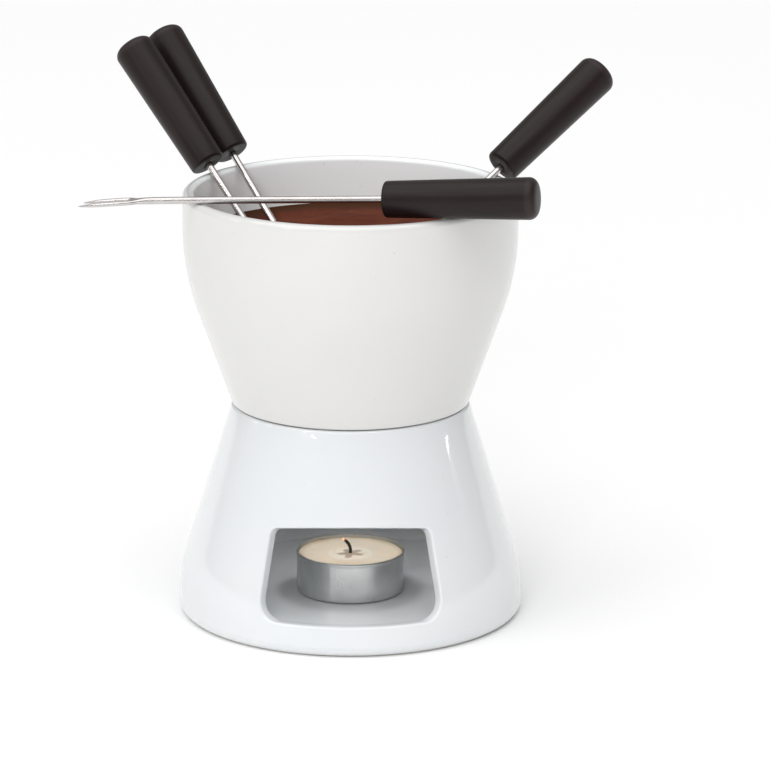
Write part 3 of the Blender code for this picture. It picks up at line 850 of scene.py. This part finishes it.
def makeWax():
    s = {key: value * mm for key, value in sustainerShape.items()}
    w = {key: value * mm for key, value in waxShape.items()}
    low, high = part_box("candle_wax")
    radius = (high.x - low.x) / 2
    bore, neck, discTop = sustainerLines()
    gap = w["gap"]
    line = roundCorners([
        (bore, discTop + s["neck"] + gap, 0, 0),
        (neck + gap, discTop + s["neck"] + gap, 0, 0),
        (neck + gap, discTop + gap, 0, 0),
        (s["disc"] + gap, discTop + gap, 0, 0),
        (s["disc"] + gap, low.z, 0, 0),
        (radius, low.z, 0.8 * mm, 5),
        (radius, high.z - 0.25 * mm, 0, 0),
    ])
    rings = waxShape["rings"]
    top = [Vector((radius + (bore - radius) * k / rings, high.z)) for k in range(rings + 1)]

    def poured(place):
        # the top sags as it set, climbs a little at the foil and heaps up round the wick
        if place.z < high.z - 1e-6:
            return place
        reach = math.hypot(place.x, place.y)
        rise = w["climb"] * math.exp(-(radius - reach) / (1.1 * mm)) - w["sag"]
        rise += w["wickHill"] * math.exp(-(reach - bore) / (1.3 * mm))
        rise += w["ripple"] * noise.noise(place * 130) * min((radius - reach) / (2 * mm), 1)
        rise += w["grain"] * noise.noise(place * 420 + Vector((5, 0, 2)))
        return place + Vector((0, 0, rise))

    form = turnedForm(refine(line, 3 * mm) + top + [line[0]], waxShape["columns"], poured)
    wax = standForward(addPiece("candleWax", form, waxFinish("candleWax"), 55))
    hand(wax, "candle", "wax", "candle_wax")
    print("wax done")


def makeSustainer():
    s = {key: value * mm for key, value in sustainerShape.items()}
    bore, neck, discTop = sustainerLines()
    line = roundCorners([
        (bore, discTop + s["neck"], 0, 0),
        (bore, discTop - s["thickness"], 0.1 * mm, 3),
        (s["disc"], discTop - s["thickness"], 0.12 * mm, 4),
        (s["disc"], discTop, 0.12 * mm, 4),
        (neck, discTop, 0.3 * mm, 4),
        (neck, discTop + s["neck"], 0.12 * mm, 4),
        (bore, discTop + s["neck"], 0, 0),
    ])
    sustainer = standForward(addPiece("wickSustainer", turnedForm(line, 64), tinFinish("tinPlate"), 40))
    hand(sustainer, "candle", "tin_plate", "wick_sustainer")
    print("sustainer done")


def wickLine(count):
    # the wick's path: up through the wax, then over to the left
    s = {key: value * mm for key, value in wickShape.items()}
    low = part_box("wick")[0].z
    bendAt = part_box("candle_wax")[1].z + s["rise"]
    bend = math.radians(wickShape["bend"])
    straight = bendAt - low
    total = straight + s["bendRadius"] * bend
    path = []
    for k in range(count + 1):
        reach = total * k / count
        if reach < straight:
            path.append(Vector((0, 0, low + reach)))
        else:
            turn = (reach - straight) / s["bendRadius"]
            path.append(Vector((-s["bendRadius"] * (1 - math.cos(turn)), 0,
                                bendAt + s["bendRadius"] * math.sin(turn))))
    return path


def makeWick():
    # strands twisted round the wick's path, thinner at the charred end
    w = wickShape
    count = w["rings"]
    path = wickLine(count)
    strand = w["radius"] * mm
    form = bmesh.new()
    for n in range(w["strands"]):
        twisted = []
        for k, point in enumerate(path):
            along = (path[min(k + 1, count)] - path[max(k - 1, 0)]).normalized()
            side = Vector((0, 1, 0))
            across = side.cross(along)
            angle = math.tau * (n / w["strands"] + w["turns"] * k / count)
            twisted.append(point + (across * math.cos(angle) + side * math.sin(angle)) * strand * w["twist"])
        radii = [strand * (w["strandShare"] if k < count * 0.94 else w["tipShare"]) for k in range(count + 1)]
        tubeForm(form, twisted, radii, 10)
    wick = standForward(addPiece("braidedWick", form, wickFinish("charredCotton", path[-1]), 50))
    hand(wick, "candle", "wick_cotton", "wick")
    print("wick done")


# four forks, each a moulded handle on a steel

forkShape = {"frontRadius": 6.2, "buttRadius": 7.2, "frontFillet": 0.9, "buttFillet": 3.0, "crown": 1.0,
             "rod": 1.2, "tang": 30.0, "prong": 0.8, "prongLength": 20.0, "spread": 5.8,
             "droop": 1.4, "droopLength": 34.0, "headLength": 8.0, "columns": 96}
# how far below the yoke each prong's rings lie, and the share of its thickness that is left there
prongTaper = ((3.4, 1.0), (7.0, 1.0), (11.0, 0.97), (14.6, 0.9), (17.0, 0.62), (18.9, 0.34), (19.9, 0.12))


def forkPlace(name):
    # the fork's own frame, read from its solids: Z towards the butt, X across the prongs
    handle = np.array([v.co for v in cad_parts[name + "_handle"].data.vertices])
    steel = np.array([v.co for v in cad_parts[name + "_steel"].data.vertices])
    spin = np.linalg.svd(handle - handle.mean(0))[2]
    along = spin[0] * np.sign(spin[0] @ (handle.mean(0) - steel.mean(0)))
    reach = handle @ along
    butt = handle[reach.argmax()]
    length = reach.max() - reach.min()
    prongs = steel[steel @ along < (steel @ along).min() + forkShape["headLength"] * mm]
    across = prongs - prongs.mean(0)
    across = np.linalg.svd(across - np.outer(across @ along, along))[2][0]
    up = np.cross(along, across)
    if up[2] < 0:
        across, up = -across, -up
    place = Matrix([list(v) for v in (across, up, along)]).transposed().to_4x4()
    place.translation = butt - along * length
    tip = reach.min() - (steel @ along).min()
    return place, length, tip


def makeHandle(name, place, length, finish):
    # a tapered grip with a crowned butt and a bore for the tang
    s = {key: value * mm for key, value in forkShape.items()}
    bore = s["rod"] + 0.12 * mm
    crown = length - s["crown"]
    line = roundCorners([
        (0, s["tang"] + 0.2 * mm, 0, 0),
        (bore, s["tang"] + 0.2 * mm, 0, 0),
        (bore, 0.15 * mm, 0.12 * mm, 3),
        (bore + 0.5 * mm, 0, 0, 0),
        (s["frontRadius"], 0, s["frontFillet"], 8),
        (s["buttRadius"], crown, s["buttFillet"], 14),
        (s["buttRadius"] * 0.5, crown + s["crown"] * 0.72, 9 * mm, 8),
        (0, length, 0, 0),
    ])
    piece = addPiece(name + "Handle", turnedForm(refine(line, 4 * mm), forkShape["columns"]), finish, 50)
    piece.matrix_world = place
    return piece


def makeSteel(name, place, reach, finish):
    # a cage of rings of eight that splits into two rings of four at the yoke;
    # each section is a height, half width, shoulder, thickness and edge
    s = {key: value * mm for key, value in forkShape.items()}
    rod, prong, half = s["rod"], s["prong"], s["spread"] / 2
    yoke = -reach + s["prongLength"]
    form = bmesh.new()

    def droop(z):
        # the head is set a little below the rod's line
        share = min(max((-reach + s["droopLength"] - z) / s["droopLength"], 0), 1)
        return -s["droop"] * share * share

    def ring(z, wide, mid, thick, edge):
        y = droop(z)
        return [form.verts.new(spot) for spot in (
            (-wide, y + edge, z), (-mid, y + thick, z), (mid, y + thick, z), (wide, y + edge, z),
            (wide, y - edge, z), (mid, y - thick, z), (-mid, y - thick, z), (-wide, y - edge, z))]

    def joined(a, b):
        for k in range(len(a)):
            j = (k + 1) % len(a)
            form.faces.new((a[k], a[j], b[j], b[k]))

    # a ring of eight is a cage that smooths to the rod, so it stands a little outside it
    slim = rod * 1.04
    corner = slim * math.tan(math.pi / 8)
    z = s["tang"]
    sections = [(z, slim, corner, slim, corner)]
    while z > yoke + 12 * mm:
        z -= 8 * mm
        sections.append((z, slim, corner, slim, corner))
    sections += [
        (yoke + 4.5 * mm, slim, slim * 0.42, slim, slim * 0.42),
        (yoke + 2.0 * mm, slim * 1.25, slim * 0.5, slim * 0.92, slim * 0.5),
        (yoke + 0.2 * mm, half * 0.86, half * 0.32, prong * 1.15, prong * 0.85),
        (yoke - 1.6 * mm, half + prong * 0.75, half - prong * 1.35, prong * 1.05, prong * 0.95),
    ]
    rings = [ring(*section) for section in sections]
    for a, b in zip(rings, rings[1:]):
        joined(a, b)
    form.faces.new(reversed(rings[0]))
    last = rings[-1]
    form.faces.new((last[1], last[2], last[5], last[6]))
    size = prong * 1.08
    for x, near in ((-half, [last[k] for k in (0, 1, 6, 7)]), (half, [last[k] for k in (2, 3, 4, 5)])):
        for down, share in prongTaper:
            z = yoke - down * mm
            y = droop(z)
            w = size * share
            spots = [(x - w, y + w, z), (x + w, y + w, z), (x + w, y - w, z), (x - w, y - w, z)]
            far = [form.verts.new(spot) for spot in spots]
            joined(near, far)
            near = far
        form.faces.new(near)
    piece = addPiece(name + "Steel", form, finish, 180)
    smooth = piece.modifiers.new("round", "SUBSURF")
    smooth.levels = 3
    smooth.render_levels = 3
    piece.matrix_world = place
    return piece


def makeForks():
    plastic = handleFinish("mouldedHandle", forkPlace("fork_1")[1])
    steel = steelFinish("polishedSteel")
    places = []
    for number in "1234":
        body = "fork_" + number
        place, length, reach = forkPlace(body)
        hand(makeHandle("fork" + number, place, length, plastic), body, "fork_handle", body + "_handle")
        hand(makeSteel("fork" + number, place, reach, steel), body, "fork_steel", body + "_steel")
        places.append(place)
    print("forks done")
    return places


# the studio: floor, sky and lamps

studio = {"floor": 6.0, "world": 0.45}
skylight = {"from": (-0.10, -0.25, 1.0), "power": 1.95, "angle": 80}
spotlight = {"place": (0, -0.008, 0.064), "power": 0.052, "size": 0.008, "cone": 128, "edge": 0.7}
softboxes = [
    # name, place, width, height, watts, aimed at, seen in the gloss
    ("softboxFront", (-0.22, -1.22, 0.56), 0.45, 0.30, 4.6, (0, 0, 0.06), False),
    ("softboxLeft", (-0.9, -0.9, 0.75), 0.06, 0.40, 0.80, (0, 0, 0.07), True),
    ("softboxFarLeft", (-1.1, -0.05, 0.6), 0.10, 0.22, 0.4, (0, 0, 0.07), True),
    ("stripRight", (0.98, 0.11, 0.19), 0.06, 0.008, 0.03, (0, 0, 0.06), True),
    ("stripLeft", (-1.08, 0.22, 0.252), 0.06, 0.008, 0.03, (0, 0, 0.07), True),
    ("sparkHigh", (-0.697, -0.977, 0.51), 0.10, 0.010, 0.06, (0, 0, 0.07), True),
    ("sparkLeft", (-0.22, -1.2, 0.06), 0.08, 0.02, 0.08, (0, 0, 0.02), True),
    ("sparkRight", (0.06, -1.2, 0.05), 0.06, 0.02, 0.06, (0, 0, 0.02), True),
]


def addLamp(name, kind, place, aim, power, glossy=True, **settings):
    data = bpy.data.lights.new(name, kind)
    data.energy = power
    for key, value in settings.items():
        setattr(data, key, value)
    lamp = bpy.data.objects.new(name, data)
    lamp.location = place
    lamp.rotation_euler = (Vector(aim) - lamp.location).to_track_quat("-Z", "Y").to_euler()
    lamp.visible_glossy = glossy
    scene.collection.objects.link(lamp)
    return lamp


def makeStudio():
    form = bmesh.new()
    bmesh.ops.create_grid(form, x_segments=2, y_segments=2, size=studio["floor"])
    finish = Finish("paleFloor", Roughness=0.6)
    cloud = finish.noise(3, 2, 0.5)
    paper = finish.feed(Base_Color=finish.blend(cloud, (0.955, 0.955, 0.955), (0.97, 0.97, 0.97)),
                        Normal=finish.bump(finish.noise(900, 2, 0.5), 0.02 * mm, 0.2))
    addPiece("floor", form, paper)
    world = bpy.data.worlds.new("studio")
    world.use_nodes = True
    sky = world.node_tree.nodes["Background"].inputs
    sky["Color"].default_value = (1, 1, 1, 1)
    sky["Strength"].default_value = studio["world"]
    scene.world = world
    scene.view_settings.view_transform = "Standard"
    addLamp("skylight", "SUN", skylight["from"], (0, 0, 0), skylight["power"],
            angle=math.radians(skylight["angle"]))
    # a small spot under the bowl shines straight down on the tealight, clear of the vents
    x, y = spotlight["place"][:2]
    spot = addLamp("chamberFill", "SPOT", spotlight["place"], (x, y, 0), spotlight["power"], False,
                   shadow_soft_size=spotlight["size"], spot_blend=spotlight["edge"],
                   spot_size=math.radians(spotlight["cone"]))
    spot.visible_camera = False
    for name, place, width, height, power, aim, glossy in softboxes:
        addLamp(name, "AREA", place, aim, power, glossy, shape="RECTANGLE", size=width, size_y=height)
    print("studio done")


makeCamera()
makeBase()
makeBowl()
makeChocolate(makeForks())
makeCup()
makeWax()
makeSustainer()
makeWick()
makeStudio()
